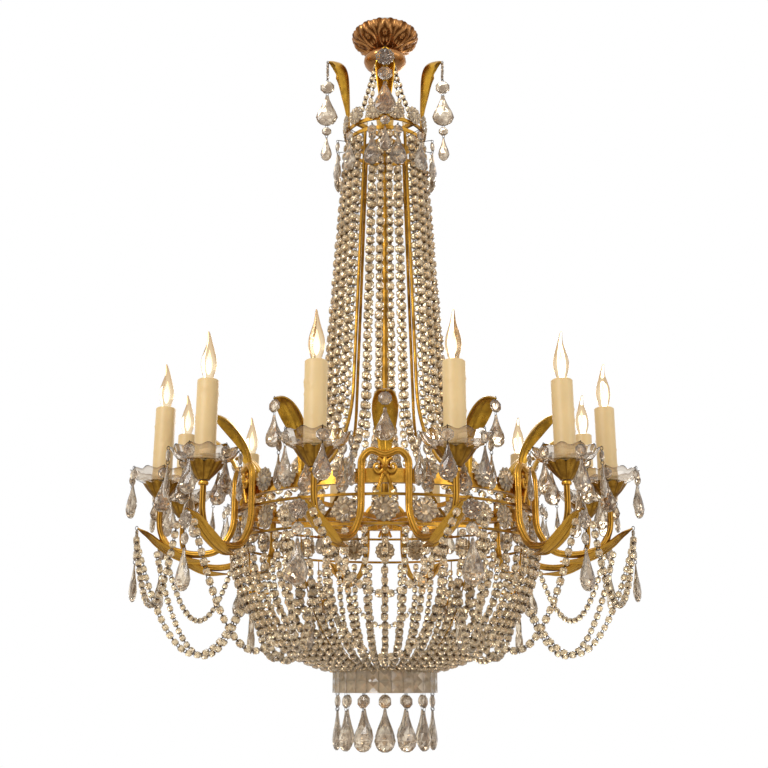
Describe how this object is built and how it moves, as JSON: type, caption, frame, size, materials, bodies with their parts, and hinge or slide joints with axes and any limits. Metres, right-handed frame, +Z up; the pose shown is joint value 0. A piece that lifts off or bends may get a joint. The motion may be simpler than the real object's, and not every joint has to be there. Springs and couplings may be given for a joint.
{
  "type": "crystal chandelier",
  "caption": "Hanging crystal basket chandelier: canopy, leaf crown, flared bead tent, gilt ring with paired candle arms, bead basket, tiled bottom ring, swags and drops.",
  "frame": {"origin": "on the ceiling, midway between the crossbar's two screw holes", "axes": "+Z up into the ceiling, the chandelier hangs along -Z, -Y is the front with one pair of arms, +X is to the right"},
  "size_m": [0.861, 0.861, 1.347],
  "materials": {
    "gilt_brass": "polished antique gilt",
    "aged_copper": "copper brown, glossy",
    "plated_steel": "zinc plated",
    "crystal_glass": "clear cut glass on brass pins",
    "candle_wax": "cream beeswax sleeve",
    "lamp_holder": "dark moulded",
    "bulb_glass": "clear flame bulb, lit"
  },
  "bodies": {
    "ceiling_mount": {"canopy": "aged_copper", "canopy_crossbar": "plated_steel", "ceiling_ring_bolt": "plated_steel"},
    "frame": {"canopy_collar": "aged_copper", "central_stem": "gilt_brass", "crown_upper_hoop": "gilt_brass", "crown_lower_hoop": "gilt_brass", "crown_spider": "gilt_brass", "crown_leaves": "gilt_brass", "tent_rods": "gilt_brass", "main_band": "gilt_brass", "gallery_hoop": "gilt_brass", "basket_hoop": "gilt_brass", "main_spider": "gilt_brass", "stem_nut": "gilt_brass", "ring_leaves": "gilt_brass", "arm_leaves": "gilt_brass", "candle_cups": "gilt_brass", "basket_ribs": "gilt_brass", "bottom_ring": "gilt_brass", "side_knobs": "gilt_brass", "arm_pair_1": "gilt_brass", "arm_pair_2": "gilt_brass", "arm_pair_3": "gilt_brass", "arm_pair_4": "gilt_brass", "arm_pair_5": "gilt_brass", "arm_pair_6": "gilt_brass", "crown_rosettes": "crystal_glass", "crown_drops": "crystal_glass", "collar_strings": "crystal_glass", "tent_strands": "crystal_glass", "band_rosettes": "crystal_glass", "basket_rosettes": "crystal_glass", "ring_leaf_drops": "crystal_glass", "arm_leaf_drops": "crystal_glass", "bobeches": "crystal_glass", "bobeche_drops": "crystal_glass", "basket_strands": "crystal_glass", "bottom_tiles": "crystal_glass", "bottom_drops": "crystal_glass", "side_icicles": "crystal_glass", "swags": "crystal_glass", "candle_sleeves": "candle_wax", "lamp_sockets": "lamp_holder"},
    "bulb_1_body": {"bulb_1": "bulb_glass"},
    "bulb_2_body": {"bulb_2": "bulb_glass"},
    "bulb_3_body": {"bulb_3": "bulb_glass"},
    "bulb_4_body": {"bulb_4": "bulb_glass"},
    "bulb_5_body": {"bulb_5": "bulb_glass"},
    "bulb_6_body": {"bulb_6": "bulb_glass"},
    "bulb_7_body": {"bulb_7": "bulb_glass"},
    "bulb_8_body": {"bulb_8": "bulb_glass"},
    "bulb_9_body": {"bulb_9": "bulb_glass"},
    "bulb_10_body": {"bulb_10": "bulb_glass"},
    "bulb_11_body": {"bulb_11": "bulb_glass"},
    "bulb_12_body": {"bulb_12": "bulb_glass"},
    "pendant_1": {"crown_pendant_1": "crystal_glass"},
    "pendant_2": {"crown_pendant_2": "crystal_glass"},
    "pendant_3": {"crown_pendant_3": "crystal_glass"},
    "pendant_4": {"crown_pendant_4": "crystal_glass"}
  },
  "joints": [
    {"name": "ceiling_swing", "type": "hinge", "parent": "ceiling_mount", "child": "frame", "pos_m": [0, 0, -0.025], "axis": [1, 0, 0], "range_deg": [-3, 3]},
    {"name": "bulb_1_turn", "type": "hinge", "parent": "frame", "child": "bulb_1_body", "pos_m": [-0.09964, -0.37188, -0.79], "axis": [0, 0, 1], "range_deg": [0, 540]},
    {"name": "bulb_2_turn", "type": "hinge", "parent": "frame", "child": "bulb_2_body", "pos_m": [0.09964, -0.37188, -0.79], "axis": [0, 0, 1], "range_deg": [0, 540]},
    {"name": "bulb_3_turn", "type": "hinge", "parent": "frame", "child": "bulb_3_body", "pos_m": [0.27224, -0.27224, -0.79], "axis": [0, 0, 1], "range_deg": [0, 540]},
    {"name": "bulb_4_turn", "type": "hinge", "parent": "frame", "child": "bulb_4_body", "pos_m": [0.37188, -0.09964, -0.79], "axis": [0, 0, 1], "range_deg": [0, 540]},
    {"name": "bulb_5_turn", "type": "hinge", "parent": "frame", "child": "bulb_5_body", "pos_m": [0.37188, 0.09964, -0.79], "axis": [0, 0, 1], "range_deg": [0, 540]},
    {"name": "bulb_6_turn", "type": "hinge", "parent": "frame", "child": "bulb_6_body", "pos_m": [0.27224, 0.27224, -0.79], "axis": [0, 0, 1], "range_deg": [0, 540]},
    {"name": "bulb_7_turn", "type": "hinge", "parent": "frame", "child": "bulb_7_body", "pos_m": [0.09964, 0.37188, -0.79], "axis": [0, 0, 1], "range_deg": [0, 540]},
    {"name": "bulb_8_turn", "type": "hinge", "parent": "frame", "child": "bulb_8_body", "pos_m": [-0.09964, 0.37188, -0.79], "axis": [0, 0, 1], "range_deg": [0, 540]},
    {"name": "bulb_9_turn", "type": "hinge", "parent": "frame", "child": "bulb_9_body", "pos_m": [-0.27224, 0.27224, -0.79], "axis": [0, 0, 1], "range_deg": [0, 540]},
    {"name": "bulb_10_turn", "type": "hinge", "parent": "frame", "child": "bulb_10_body", "pos_m": [-0.37188, 0.09964, -0.79], "axis": [0, 0, 1], "range_deg": [0, 540]},
    {"name": "bulb_11_turn", "type": "hinge", "parent": "frame", "child": "bulb_11_body", "pos_m": [-0.37188, -0.09964, -0.79], "axis": [0, 0, 1], "range_deg": [0, 540]},
    {"name": "bulb_12_turn", "type": "hinge", "parent": "frame", "child": "bulb_12_body", "pos_m": [-0.27224, -0.27224, -0.79], "axis": [0, 0, 1], "range_deg": [0, 540]},
    {"name": "crown_pendant_1_swing", "type": "hinge", "parent": "frame", "child": "pendant_1", "pos_m": [0, -0.1134, -0.0965], "axis": [-1, 0, 0], "range_deg": [-1, 35]},
    {"name": "crown_pendant_2_swing", "type": "hinge", "parent": "frame", "child": "pendant_2", "pos_m": [0.1134, 0, -0.0565], "axis": [0, -1, 0], "range_deg": [-1, 35]},
    {"name": "crown_pendant_3_swing", "type": "hinge", "parent": "frame", "child": "pendant_3", "pos_m": [0, 0.1134, -0.0965], "axis": [1, 0, 0], "range_deg": [-1, 35]},
    {"name": "crown_pendant_4_swing", "type": "hinge", "parent": "frame", "child": "pendant_4", "pos_m": [-0.1134, 0, -0.0565], "axis": [0, 1, 0], "range_deg": [-1, 35]}
  ]
}
